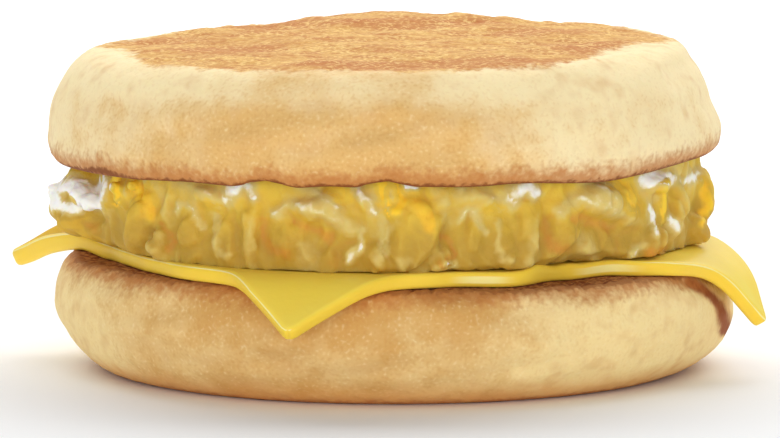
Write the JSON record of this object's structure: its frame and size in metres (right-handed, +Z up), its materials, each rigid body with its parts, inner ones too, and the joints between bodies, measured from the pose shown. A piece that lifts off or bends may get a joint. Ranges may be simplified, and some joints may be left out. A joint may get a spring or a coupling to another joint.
{
  "type": "breakfast sandwich",
  "caption": "Round toasted muffin cut in half and filled with a thick layer of scrambled egg over a square cheese slice whose corners hang over the rim.",
  "frame": {"origin": "centre of the flat base that the sandwich stands on", "axes": "+Z up through the stack, -Y towards the front"},
  "size_m": [0.1127, 0.1135, 0.0498],
  "materials": {
    "muffin": "dry baked crumb, browned on the griddled faces and toasted rims",
    "cheese": "smooth, soft gloss",
    "egg": "moist, yellow curds streaked with white"
  },
  "bodies": {
    "root": {"muffin_bottom": "muffin", "cheese_slice": "cheese", "scrambled_egg": "egg", "muffin_top": "muffin"}
  },
  "joints": []
}
